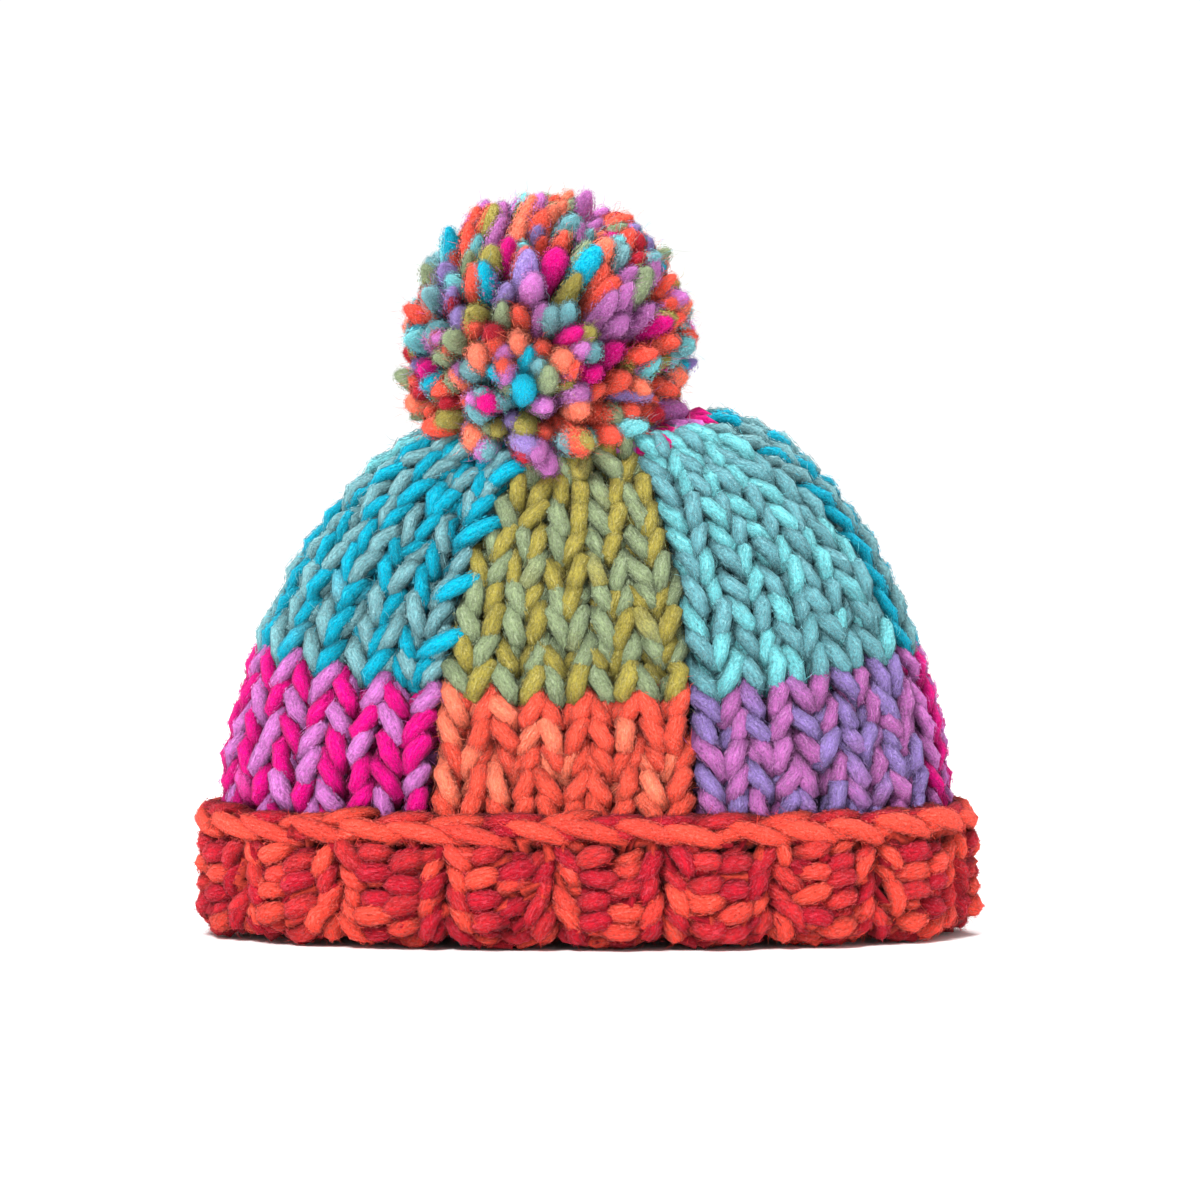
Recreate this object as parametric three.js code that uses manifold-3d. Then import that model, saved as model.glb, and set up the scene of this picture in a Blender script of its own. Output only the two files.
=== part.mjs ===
// A chunky hand-knitted bobble hat, standing on its turned-up cuff, in millimetres, +Z up.
// The crown is six gores of two colour blocks each. Its wall is hollow and carries a raised rib for
// each column of stitches. Below it is a ribbed cuff folded double, with a cord-like cast-on edge.
// At the top are the drawn-in closing rows and a bobble of thick yarn ends on a hidden tie.
// The front of the hat looks along -Y, and the origin is at the middle of its base.
import * as THREE from "three";
import { mergeVertices } from "three/addons/utils/BufferGeometryUtils.js";
import Module from "manifold-3d";

const wasm = await Module();
wasm.setup();

// Driving dimensions
const GAP = 0.4;
const FLATNESS = 2.2; // exponent of the plan outline: 2 is an ellipse
const CROWN = { halfWidth: 108.5, halfDepth: 50.5, top: 160, wallTop: 44, wall: 9 };
const DOME = { widthRise: 1.4, widthRound: 2.9, depthRise: 1.6, depthRound: 3.2 };
const ROWS = { lower: 6, upper: 10 };
const BLOCK_START = { front: 28, side: 34 }; // the lower blocks begin inside the fold of the cuff
const COLOUR_LINE = { front: 75, side: 86 }; // heights where the lower and the upper blocks meet
const RIM = { front: 146.5, side: 155 }; // heights where the upper blocks meet the closing rows
const CONVERGE = 2.5; // how late the gores' edges swing towards their places on the rim
const RIB = { height: 1.7, seam: 2.8, seamWidth: 3.4 };
const CUFF = { repeats: 17, firstCrease: -8.9, flapTop: 29.5, crease: 4.2, slit: 0.8 };
const EDGE = { radius: 3.8, out: 2.7, twist: 0.7, lobes: 2 };
const CLOSING = { hole: 4.2, holeHeight: 143, crest: 12.5, wall: 7, pleats: 12, pleat: 1 };
const BOBBLE = { x: -11.5, y: -2, z: 176.5, reach: 44, core: 22, locks: 96 };
const LOCK = { foot: 3, girth: 6.2, tip: 3.2, sides: 5, clearance: 1 };
const TIE = { radius: 2.6, top: 160, knotRadius: 7.5, knotHeight: 7, clearance: 0.4 };

const COLOURS = {
  magenta: "#d33a92",
  turquoise: "#7fb4bd",
  orange: "#ee7a5c",
  green: "#8d9465",
  lavender: "#a987c2",
  aqua: "#84bcc4",
  red: "#d0463c",
  pink: "#c4499b",
  mixed: "#c98a86",
};

// The gores, going round to the right from the middle of the front: where each begins at the crown's
// foot in millimetres round from the front, where it begins on the rim as a turn in degrees, how many
// columns of stitches it has, and its two colours.
const GORES = [
  { name: "front", foot: -45.7, rim: -16, columns: 5, lower: "orange", upper: "green" },
  { name: "right", foot: 31.6, rim: 10, columns: 5, lower: "lavender", upper: "aqua" },
  { name: "back_right", foot: 108.9, rim: 39, columns: 6, lower: "magenta", upper: "turquoise" },
  { name: "back", foot: 202.6, rim: 141, columns: 6, lower: "orange", upper: "green" },
  { name: "back_left", foot: 296.3, rim: 219, columns: 6, lower: "lavender", upper: "aqua" },
  { name: "left", foot: 390, rim: 314, columns: 5, lower: "magenta", upper: "turquoise" },
];

// The cuff's section from its top edge down the outside, under the fold and up the band inside.
// out is measured from the crown's outer wall at its foot. A height of null is the band's top edge,
// where the lower blocks begin.
const CUFF_SECTION = [
  { out: 0.7, height: CUFF.flapTop, creased: 0 },
  { out: 5.4, height: CUFF.flapTop, creased: 0.5 },
  { out: 8, height: 23, creased: 1 },
  { out: 9.3, height: 14, creased: 1 },
  { out: 9, height: 5, creased: 1 },
  { out: 6, height: 0, creased: 0.6 },
  { out: -4.4, height: 0, creased: 0 },
  { out: -CROWN.wall, height: 4.5, creased: 0 },
  { out: -CROWN.wall, height: null, creased: 0 },
  { out: 0.7 - CUFF.slit, height: null, creased: 0 },
  { out: 0.7 - CUFF.slit, height: 6, creased: 0 },
  { out: 0.7, height: 6, creased: 0 },
];

// Plan outline and its even spacing
const signedPower = (value, power) => Math.sign(value) * Math.abs(value) ** power;

// A point of the outline at a turn of 0 at the front and a quarter turn at the right-hand side
function planPoint(halfWidth, halfDepth, turn) {
  const power = 2 / FLATNESS;
  return [halfWidth * signedPower(Math.sin(turn), power), -halfDepth * signedPower(Math.cos(turn), power)];
}

const TURN_STEPS = 1440;
const arcAtStep = [0];
for (let i = 1; i <= TURN_STEPS; i++) {
  const [x0, y0] = planPoint(CROWN.halfWidth, CROWN.halfDepth, (2 * Math.PI * (i - 1)) / TURN_STEPS);
  const [x1, y1] = planPoint(CROWN.halfWidth, CROWN.halfDepth, (2 * Math.PI * i) / TURN_STEPS);
  arcAtStep.push(arcAtStep[i - 1] + Math.hypot(x1 - x0, y1 - y0));
}
const GIRTH = arcAtStep[TURN_STEPS];

// The turn that lies a given way round the crown's foot, in millimetres from the middle of the front
function turnAt(arc) {
  const way = ((arc % GIRTH) + GIRTH) % GIRTH;
  let i = arcAtStep.findIndex((value) => value > way);
  if (i < 1) i = TURN_STEPS;
  const share = (way - arcAtStep[i - 1]) / (arcAtStep[i] - arcAtStep[i - 1]);
  return (2 * Math.PI * (i - 1 + share)) / TURN_STEPS;
}

// Crown surface
function crownSection(height) {
  const rise = Math.min(1, Math.max(0, (height - CROWN.wallTop) / (CROWN.top - CROWN.wallTop)));
  return {
    halfWidth: CROWN.halfWidth * (1 - rise ** DOME.widthRise) ** (1 / DOME.widthRound),
    halfDepth: CROWN.halfDepth * (1 - rise ** DOME.depthRise) ** (1 / DOME.depthRound),
  };
}

// Heights that lie evenly along the wall from one height to another, seen from the front or the side
function evenHeights(from, to, across) {
  const fineSteps = 480;
  const evenSteps = 60;
  const heights = [];
  for (let i = 0; i <= fineSteps; i++) heights.push(from + ((to - from) * i) / fineSteps);
  const lengths = [0];
  for (let i = 1; i <= fineSteps; i++) {
    const run = crownSection(heights[i])[across] - crownSection(heights[i - 1])[across];
    lengths.push(lengths[i - 1] + Math.hypot(run, heights[i] - heights[i - 1]));
  }
  const even = [];
  for (let k = 0; k <= evenSteps; k++) {
    const length = (lengths[fineSteps] * k) / evenSteps;
    even.push(heights[Math.max(0, lengths.findIndex((value) => value >= length - 1e-9))]);
  }
  return even;
}

const frontClimb = evenHeights(COLOUR_LINE.front, RIM.front, "halfDepth");
const sideClimb = evenHeights(COLOUR_LINE.side, RIM.side, "halfWidth");

function interpolated(list, share) {
  const at = Math.min(1, Math.max(0, share)) * (list.length - 1);
  const i = Math.min(list.length - 2, Math.floor(at));
  return list[i] + (list[i + 1] - list[i]) * (at - i);
}

// Blends a height at the front of the hat into the one at its side
const blended = (front, side, turn) => front + (side - front) * Math.sin(turn) ** 2;

// Height of a row of stitches: row 0 is the line where the colours change
function rowHeight(turn, row) {
  if (row > 0) {
    const share = row / ROWS.upper;
    return blended(interpolated(frontClimb, share), interpolated(sideClimb, share), turn);
  }
  const line = blended(COLOUR_LINE.front, COLOUR_LINE.side, turn);
  return line + ((line - blended(BLOCK_START.front, BLOCK_START.side, turn)) * row) / ROWS.lower;
}

// Turn on the rim of what stands at a place round the foot
function rimTurn(arc) {
  const way = ((((arc - GORES[0].foot) % GIRTH) + GIRTH) % GIRTH) + GORES[0].foot;
  const i = GORES.findLastIndex((gore) => gore.foot <= way);
  const next = GORES[i + 1] ?? { foot: GORES[0].foot + GIRTH, rim: GORES[0].rim + 360 };
  const share = (way - GORES[i].foot) / (next.foot - GORES[i].foot);
  return THREE.MathUtils.degToRad(GORES[i].rim + (next.rim - GORES[i].rim) * share);
}

// Turn of what stands at a place round the foot, when it has climbed to a row
function turnOnRow(arc, row) {
  const foot = turnAt(arc);
  const rise = Math.max(0, row / ROWS.upper) ** CONVERGE;
  const swing = Math.atan2(Math.sin(rimTurn(arc) - foot), Math.cos(rimTurn(arc) - foot));
  return foot + swing * rise;
}

function crownPoint(turn, row) {
  const height = rowHeight(turn, row);
  const section = crownSection(height);
  const [x, y] = planPoint(section.halfWidth, section.halfDepth, turn);
  return new THREE.Vector3(x, y, height);
}

// A point of the crown's wall, a distance out from its outer surface
function wallPoint(turn, row, out) {
  const step = 0.02;
  const around = crownPoint(turn + step, row).sub(crownPoint(turn - step, row));
  const up = crownPoint(turn, Math.min(row + step, ROWS.upper)).sub(crownPoint(turn, row - step));
  return crownPoint(turn, row).addScaledVector(around.cross(up).normalize(), out);
}

// Solids from sections
// Joins section loops of equal length into one solid. An open solid's ends are closed by strips
// between the loop's two halves, so each half runs along one face of the wall.
function loft(loops, closed) {
  const size = loops[0].length;
  const positions = loops.flat().flatMap((point) => [point.x, point.y, point.z]);
  const triangles = [];
  const quad = (a, b, c, d) => triangles.push(a, b, c, a, c, d);
  const last = closed ? loops.length : loops.length - 1;
  for (let i = 0; i < last; i++) {
    const here = i * size;
    const next = ((i + 1) % loops.length) * size;
    for (let j = 0; j < size; j++) {
      const up = (j + 1) % size;
      quad(here + j, next + j, next + up, here + up);
    }
  }
  if (!closed) {
    const end = (loops.length - 1) * size;
    for (let j = 0; j < size / 2 - 1; j++) {
      quad(j, j + 1, size - 2 - j, size - 1 - j);
      quad(end + j, end + size - 1 - j, end + size - 2 - j, end + j + 1);
    }
  }
  const geometry = new THREE.BufferGeometry();
  geometry.setAttribute("position", new THREE.Float32BufferAttribute(positions, 3));
  geometry.setIndex(triangles);
  return geometry;
}

function toManifold(geometry) {
  const bare = new THREE.BufferGeometry();
  const source = geometry.index ? geometry.toNonIndexed() : geometry;
  bare.setAttribute("position", source.getAttribute("position"));
  const merged = mergeVertices(bare, 1e-4);
  return new wasm.Manifold(
    new wasm.Mesh({
      numProp: 3,
      vertProperties: merged.attributes.position.array,
      triVerts: new Uint32Array(merged.index.array),
    }),
  );
}

function toGeometry(solid) {
  const mesh = solid.getMesh();
  const geometry = new THREE.BufferGeometry();
  geometry.setAttribute("position", new THREE.Float32BufferAttribute(mesh.vertProperties, 3));
  geometry.setIndex(new THREE.BufferAttribute(mesh.triVerts, 1));
  return geometry;
}

function piece(name, geometry, colour) {
  const material = new THREE.MeshStandardMaterial({ color: colour, roughness: 0.95, metalness: 0 });
  const mesh = new THREE.Mesh(geometry, material);
  mesh.name = name;
  return mesh;
}

// Colour blocks of the crown
// Stations across a gore: each column of stitches has a flat crest, with valleys beside it and
// deeper seams at the gore's edges.
function goreStations(start, end, columns) {
  const first = start + GAP / 2;
  const last = end - GAP / 2;
  const inner = first + RIB.seamWidth / 2;
  const column = (last - first - RIB.seamWidth) / columns;
  const stations = [{ arc: first, relief: RIB.seam }];
  for (let i = 0; i < columns; i++) {
    if (i > 0) stations.push({ arc: inner + i * column, relief: RIB.height });
    stations.push({ arc: inner + (i + 0.28) * column, relief: 0 });
    stations.push({ arc: inner + (i + 0.72) * column, relief: 0 });
  }
  stations.push({ arc: last, relief: RIB.seam });
  return stations;
}

function block(stations, rows) {
  const loops = stations.map(({ arc, relief }) => {
    const outside = rows.map((row) => {
      const fading = 1 - 0.5 * Math.max(0, row / ROWS.upper);
      return wallPoint(turnOnRow(arc, row), row, -relief * fading);
    });
    const inside = rows.map((row) => wallPoint(turnOnRow(arc, row), row, -CROWN.wall));
    return [...outside, ...inside.reverse()];
  });
  return loft(loops, false);
}

const LOWER_ROWS = [-ROWS.lower, -4, -2, -0.05];
const UPPER_ROWS = [0.05, 2, 4, 6, 8, 9.2, ROWS.upper];

function makeBlocks() {
  const blocks = [];
  GORES.forEach((gore, i) => {
    const end = GORES[i + 1]?.foot ?? GORES[0].foot + GIRTH;
    const stations = goreStations(gore.foot, end, gore.columns);
    blocks.push(piece(`${gore.name}_lower_block`, block(stations, LOWER_ROWS), COLOURS[gore.lower]));
    blocks.push(piece(`${gore.name}_upper_block`, block(stations, UPPER_ROWS), COLOURS[gore.upper]));
  });
  return blocks;
}

// Cuff: the ribbed band, folded up on itself so that its foot is double
const CREASE_STATIONS = [
  { share: 0, crease: 1 },
  { share: 0.18, crease: 0.3 },
  { share: 0.5, crease: 0 },
  { share: 0.82, crease: 0.3 },
];

function cuffOffset(turn, out, height) {
  const [x, y] = planPoint(CROWN.halfWidth + out, CROWN.halfDepth + out, turn);
  return new THREE.Vector3(x, y, height);
}

function makeCuff() {
  const loops = [];
  const pitch = GIRTH / CUFF.repeats;
  for (let i = 0; i < CUFF.repeats; i++) {
    for (const { share, crease } of CREASE_STATIONS) {
      const turn = turnAt(CUFF.firstCrease + (i + share) * pitch);
      const bandTop = blended(BLOCK_START.front, BLOCK_START.side, turn) - GAP;
      const loop = CUFF_SECTION.map(({ out, height, creased }) =>
        cuffOffset(turn, out - CUFF.crease * crease * creased, height ?? bandTop),
      );
      loops.push(loop.reverse());
    }
  }
  return piece("cuff", loft(loops, true), COLOURS.red);
}

// Cast-on edge: a two-lobed cord that lies along the top of the turned-up flap
function makeEdge() {
  const loops = [];
  const stations = CUFF.repeats * 4;
  const sides = 7;
  const middle = CUFF.flapTop + GAP + EDGE.radius;
  for (let i = 0; i < stations; i++) {
    const turn = turnAt((GIRTH * i) / stations);
    const loop = [];
    for (let j = 0; j < sides; j++) {
      const angle = (2 * Math.PI * j) / sides;
      const lobe = Math.cos(EDGE.lobes * angle - (2 * Math.PI * CUFF.repeats * i) / stations);
      const radius = EDGE.radius - EDGE.twist + EDGE.twist * lobe;
      const out = EDGE.out + radius * 0.75 * Math.cos(angle);
      loop.push(cuffOffset(turn, out + radius * 0.25, middle + radius * Math.sin(angle)));
    }
    loops.push(loop);
  }
  return piece("cast_on_edge", loft(loops, true), COLOURS.red);
}

// Closing rows: a plump pleated ring that fills the rim and dips to the hole for the tie
function makeClosing() {
  const loops = [];
  const stations = CLOSING.pleats * 4;
  for (let i = 0; i < stations; i++) {
    const turn = (2 * Math.PI * i) / stations;
    const pleat = CLOSING.pleat * Math.cos((Math.PI / 2) * i);
    const hole = new THREE.Vector3(CLOSING.hole * Math.sin(turn), -CLOSING.hole * Math.cos(turn), 0);
    const line = (out, crest, sag) => {
      const rim = wallPoint(turn, ROWS.upper, out);
      rim.addScaledVector(new THREE.Vector3(-rim.x, -rim.y, 0).normalize(), 2 * GAP);
      return [1, 0.78, 0.5, 0.22, 0].map((share) => {
        const swell = (crest * share + pleat) * Math.sin(Math.PI * share) - sag * (1 - share);
        const height = CLOSING.holeHeight + (rim.z - CLOSING.holeHeight) * share + swell;
        return hole.clone().lerp(rim, share).setZ(height);
      });
    };
    const top = line(-0.6, CLOSING.crest, 0);
    const under = line(-CROWN.wall + 0.6, 0, CLOSING.wall).reverse();
    loops.push([...top, ...under]);
  }
  return piece("closing_rows", loft(loops, true), COLOURS.pink);
}

// Tie: a plain hidden cord from the bobble's heart to a knot inside the crown
function makeTie() {
  const foot = CLOSING.holeHeight - CLOSING.wall - GAP;
  const profile = [
    [0, foot - TIE.knotHeight],
    [TIE.knotRadius * 0.7, foot - TIE.knotHeight],
    [TIE.knotRadius, foot - TIE.knotHeight / 2],
    [TIE.knotRadius * 0.7, foot],
    [TIE.radius, foot],
    [TIE.radius, TIE.top],
    [0, TIE.top],
  ].map(([x, y]) => new THREE.Vector2(x, y));
  const geometry = new THREE.LatheGeometry(profile, 10);
  geometry.rotateX(Math.PI / 2);
  return piece("bobble_tie", geometry, COLOURS.pink);
}

// Bobble: cut yarn ends round a wound core, shortened where they lie on the crown
function heightOfCrown(x, y) {
  let low = CROWN.wallTop;
  let high = CROWN.top;
  for (let i = 0; i < 30; i++) {
    const middle = (low + high) / 2;
    const { halfWidth, halfDepth } = crownSection(middle);
    const reach = Math.abs(x / halfWidth) ** FLATNESS + Math.abs(y / halfDepth) ** FLATNESS;
    if (reach > 1) high = middle;
    else low = middle;
  }
  return low;
}

function lockGeometry(heart, way, reach) {
  const girth = LOCK.girth * (reach / BOBBLE.reach);
  const profile = [
    [0, BOBBLE.core * 0.7],
    [LOCK.foot, BOBBLE.core * 0.7],
    [girth, reach - girth],
    [LOCK.tip, reach - girth * 0.15],
    [0, reach],
  ].map(([x, y]) => new THREE.Vector2(x, y));
  const geometry = new THREE.LatheGeometry(profile, LOCK.sides);
  geometry.applyQuaternion(new THREE.Quaternion().setFromUnitVectors(new THREE.Vector3(0, 1, 0), way));
  geometry.translate(heart.x, heart.y, heart.z);
  return geometry;
}

// How far a lock can reach before its tip meets the crown
function clearReach(heart, way) {
  let reach = BOBBLE.reach;
  for (; reach > BOBBLE.core + 2; reach -= 0.5) {
    const tip = heart.clone().addScaledVector(way, reach - LOCK.girth / 2);
    if (tip.z - LOCK.girth - LOCK.clearance > heightOfCrown(tip.x, tip.y)) break;
  }
  return reach;
}

function makeBobble() {
  const heart = new THREE.Vector3(BOBBLE.x, BOBBLE.y, BOBBLE.z);
  const core = new THREE.IcosahedronGeometry(BOBBLE.core, 1);
  core.translate(heart.x, heart.y, heart.z);
  let solid = toManifold(core);
  const goldenTurn = Math.PI * (3 - Math.sqrt(5));
  for (let i = 0; i < BOBBLE.locks; i++) {
    const rise = 1 - (2 * (i + 0.5)) / BOBBLE.locks;
    const ring = Math.sqrt(1 - rise * rise);
    const way = new THREE.Vector3(ring * Math.cos(i * goldenTurn), ring * Math.sin(i * goldenTurn), rise);
    const reach = clearReach(heart, way);
    if (reach > BOBBLE.core + 2) solid = solid.add(toManifold(lockGeometry(heart, way, reach)));
  }
  const socketRadius = TIE.radius + TIE.clearance;
  const socket = new THREE.CylinderGeometry(socketRadius, socketRadius, BOBBLE.reach, 10);
  socket.rotateX(Math.PI / 2);
  socket.translate(0, 0, TIE.top + TIE.clearance - BOBBLE.reach / 2);
  solid = solid.subtract(toManifold(socket));
  return piece("bobble", toGeometry(solid), COLOURS.mixed);
}

const hat = new THREE.Group();
hat.add(...makeBlocks(), makeCuff(), makeEdge(), makeClosing(), makeTie(), makeBobble());

export default hat;
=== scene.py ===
# A chunky hand-knitted bobble hat, standing on its turned-up cuff. Metres, +Z up, front along -Y.
import math

import bmesh
import bpy
import numpy as np
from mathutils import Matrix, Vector


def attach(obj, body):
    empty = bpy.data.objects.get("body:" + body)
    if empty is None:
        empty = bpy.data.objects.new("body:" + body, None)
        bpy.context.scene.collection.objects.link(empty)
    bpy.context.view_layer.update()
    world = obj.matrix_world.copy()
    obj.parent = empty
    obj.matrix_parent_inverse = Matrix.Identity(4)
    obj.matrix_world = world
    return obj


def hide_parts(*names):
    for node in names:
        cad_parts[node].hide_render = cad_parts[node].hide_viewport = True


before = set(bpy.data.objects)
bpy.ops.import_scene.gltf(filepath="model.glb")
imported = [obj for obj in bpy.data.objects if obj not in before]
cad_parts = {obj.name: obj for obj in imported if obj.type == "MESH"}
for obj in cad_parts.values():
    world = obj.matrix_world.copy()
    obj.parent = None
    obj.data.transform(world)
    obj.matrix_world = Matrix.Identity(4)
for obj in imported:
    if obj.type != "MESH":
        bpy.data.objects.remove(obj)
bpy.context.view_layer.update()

# Camera, floor and light
# The hat is seen from just above the floor through a long lens. It stands on a white table before a
# bright horizon, under a dimmer sky with broad lamps above the front and the top.
MM = 0.001
LOOK_AT = Vector((4.0 * MM, 0, 98.7 * MM))
CAMERA_DISTANCE = 1.9
CAMERA_ELEVATION = math.radians(3)
VIEW_WIDTH = 354.8 * MM
SENSOR_WIDTH = 36

camera = bpy.data.objects.new("camera", bpy.data.cameras.new("camera"))
bpy.context.scene.collection.objects.link(camera)
bpy.context.scene.camera = camera
camera.data.sensor_width = SENSOR_WIDTH
camera.data.lens = SENSOR_WIDTH * CAMERA_DISTANCE / VIEW_WIDTH
camera.data.clip_end = 100
back = Vector((0, -math.cos(CAMERA_ELEVATION), math.sin(CAMERA_ELEVATION)))
camera.location = LOOK_AT + CAMERA_DISTANCE * back
camera.rotation_euler = (-back).to_track_quat("-Z", "Y").to_euler()

FLOOR_RADIUS = 2.3
floor_mesh = bmesh.new()
bmesh.ops.create_circle(floor_mesh, cap_ends=True, segments=96, radius=FLOOR_RADIUS)
floor_data = bpy.data.meshes.new("floor")
floor_mesh.to_mesh(floor_data)
floor_mesh.free()
floor = bpy.data.objects.new("floor", floor_data)
bpy.context.scene.collection.objects.link(floor)
paper = bpy.data.materials.new("white paper")
paper.use_nodes = True
paper_shader = paper.node_tree.nodes["Principled BSDF"]
paper_shader.inputs["Base Color"].default_value = (0.95, 0.95, 0.95, 1)
paper_shader.inputs["Roughness"].default_value = 0.9
paper_shader.inputs["Specular IOR Level"].default_value = 0.1
floor_data.materials.append(paper)

sky = bpy.data.worlds.new("soft studio")
bpy.context.scene.world = sky
sky.use_nodes = True
sky_way = sky.node_tree.nodes.new("ShaderNodeTexCoord")
sky_split = sky.node_tree.nodes.new("ShaderNodeSeparateXYZ")
sky_fade = sky.node_tree.nodes.new("ShaderNodeMapRange")
for socket, value in (("From Min", 0.1), ("From Max", 0.4), ("To Min", 1.06), ("To Max", 0.55)):
    sky_fade.inputs[socket].default_value = value
sky.node_tree.links.new(sky_way.outputs["Generated"], sky_split.inputs["Vector"])
sky.node_tree.links.new(sky_split.outputs["Z"], sky_fade.inputs["Value"])
sky.node_tree.links.new(sky_fade.outputs["Result"], sky.node_tree.nodes["Background"].inputs["Strength"])
sky.node_tree.nodes["Background"].inputs["Color"].default_value = (1, 1, 1, 1)


def lamp(name, place, size, power):
    data = bpy.data.lights.new(name, "AREA")
    data.shape = "DISK"
    data.size = size
    data.energy = power
    light = bpy.data.objects.new(name, data)
    light.location = place
    light.rotation_euler = (LOOK_AT - Vector(place)).to_track_quat("-Z", "Y").to_euler()
    bpy.context.scene.collection.objects.link(light)


lamp("front lamp", (-0.8, -1.5, 2.2), size=0.8, power=88)
lamp("top lamp", (0.5, 0.5, 2.6), size=1.4, power=62)
bpy.context.scene.view_settings.view_transform = "Standard"

# Cuff
# A band of chunky marled wool in rib, two purl columns to each knit one, knitted from its cast-on
# edge and folded up on itself. The knit columns draw in as creases and show upside down.
CROWN = {"half_width": 108.5 * MM, "half_depth": 50.5 * MM, "top": 160 * MM, "wall_top": 44 * MM}
FLATNESS = 2.2  # 2 would be an ellipse, and more is squarer
TURN_STEPS = 1440
CUFF_REPEATS = 17
FIRST_CREASE = -8.9 * MM  # its way round the foot, from the middle of the front


def plan_point(half_width, half_depth, turn):
    """The hat's outline seen from above. A turn of 0 is the front, a quarter turn its right side."""
    sine, cosine = np.sin(turn), np.cos(turn)
    x = half_width * np.sign(sine) * np.abs(sine) ** (2 / FLATNESS)
    y = -half_depth * np.sign(cosine) * np.abs(cosine) ** (2 / FLATNESS)
    return x, y


def foot_point(turn, out=0):
    """A place on the outline of the crown's foot, or a distance out from it."""
    return plan_point(CROWN["half_width"] + out, CROWN["half_depth"] + out, turn)


step_turns = np.linspace(0, 2 * math.pi, TURN_STEPS + 1)
outline = np.stack(foot_point(step_turns), -1)
step_arcs = np.concatenate([[0], np.cumsum(np.linalg.norm(np.diff(outline, axis=0), axis=1))])
GIRTH = step_arcs[-1]
CUFF_PITCH = GIRTH / CUFF_REPEATS


def turn_at(arc):
    """The turn of a place round the crown's foot, given as a way in metres from the front."""
    return np.interp(np.mod(arc, GIRTH), step_arcs, step_turns)


def unit(vectors):
    return vectors / np.maximum(np.linalg.norm(vectors, axis=-1, keepdims=True), 1e-12)


def linear(red, green, blue):
    """A colour as seen on a screen, 0 to 255 each, as the shader wants it."""
    shares = np.array([red, green, blue]) / 255
    return (*np.where(shares < 0.04045, shares / 12.92, ((shares + 0.055) / 1.055) ** 2.4), 1.0)


def wool_group():
    """The look of marled wool: its two dyes, streaks along the strand, a felted mottle, and painted shade
    between strands and down their sides. Gives a colour, a height, and where a loose fibre lies over the
    strand."""
    group = bpy.data.node_groups.new("wool fibre", "ShaderNodeTree")
    for name, kind in (("Fibre", "Vector"), ("Tone", "Float"), ("Marl", "Float"), ("Open", "Float"),
                       ("Cover", "Float"), ("First Dye", "Color"), ("Second Dye", "Color")):
        group.interface.new_socket(name, in_out="INPUT", socket_type=f"NodeSocket{kind}")
    for name, kind in (("Color", "Color"), ("Height", "Float"), ("Loose", "Float")):
        group.interface.new_socket(name, in_out="OUTPUT", socket_type=f"NodeSocket{kind}")
    nodes, links = group.nodes, group.links
    given = nodes.new("NodeGroupInput")
    result = nodes.new("NodeGroupOutput")

    def noise(scale, stretch, detail):
        mapping = nodes.new("ShaderNodeMapping")
        mapping.inputs["Scale"].default_value = (scale, scale, scale * stretch)
        links.new(given.outputs["Fibre"], mapping.inputs["Vector"])
        texture = nodes.new("ShaderNodeTexNoise")
        texture.inputs["Scale"].default_value = 1
        texture.inputs["Detail"].default_value = detail
        links.new(mapping.outputs["Vector"], texture.inputs["Vector"])
        return texture.outputs["Fac"]

    def combine(operation, first, second):
        node = nodes.new("ShaderNodeMath")
        node.operation = operation
        for socket, value in zip(node.inputs, (first, second)):
            if isinstance(value, float):
                socket.default_value = value
            else:
                links.new(value, socket)
        return node.outputs[0]

    def mixed(share, first, second):
        node = nodes.new("ShaderNodeMix")
        node.data_type = "RGBA"
        links.new(share, node.inputs["Factor"])
        links.new(first, node.inputs["A"])
        links.new(second, node.inputs["B"])
        return node.outputs["Result"]

    streaks = noise(scale=1500, stretch=0.25, detail=3)
    mottle = noise(scale=1800, stretch=0.9, detail=4)
    loose = noise(scale=2000, stretch=0.45, detail=2)
    slow = noise(scale=110, stretch=0.8, detail=1)
    grain = combine("ADD", combine("MULTIPLY", streaks, 0.45), combine("MULTIPLY", mottle, 0.55))
    links.new(combine("ADD", grain, combine("MULTIPLY", mottle, 0.5)), result.inputs["Height"])
    lift = combine("ADD", combine("MULTIPLY", combine("SUBTRACT", grain, 0.5), 3.6), 1.42)
    lift = combine("ADD", lift, combine("MULTIPLY", given.outputs["Tone"], 0.12))
    lift = combine("ADD", lift, combine("MULTIPLY", combine("SUBTRACT", slow, 0.5), 0.35))
    # Painted shade: the colour's value is darkened where the strand lies deep in the fabric or faces
    # aside.
    painted_shade = combine("ADD", combine("MULTIPLY", given.outputs["Open"], 0.85), 0.15)
    reveal = combine("ADD", combine("SUBTRACT", loose, 1.0), given.outputs["Cover"])
    reveal = combine("MULTIPLY", reveal, 6.0)
    links.new(combine("MINIMUM", combine("MAXIMUM", reveal, 0.0), 0.8), result.inputs["Loose"])
    dyed = mixed(given.outputs["Marl"], given.outputs["First Dye"], given.outputs["Second Dye"])
    shade = nodes.new("ShaderNodeHueSaturation")
    links.new(dyed, shade.inputs["Color"])
    links.new(combine("MULTIPLY", lift, painted_shade), shade.inputs["Value"])
    links.new(shade.outputs["Color"], result.inputs["Color"])
    return group


WOOL_FIBRE = wool_group()
NAP_PALE = {"towards": 225, "share": 0.12}  # the nap's dyes, lightened


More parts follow.
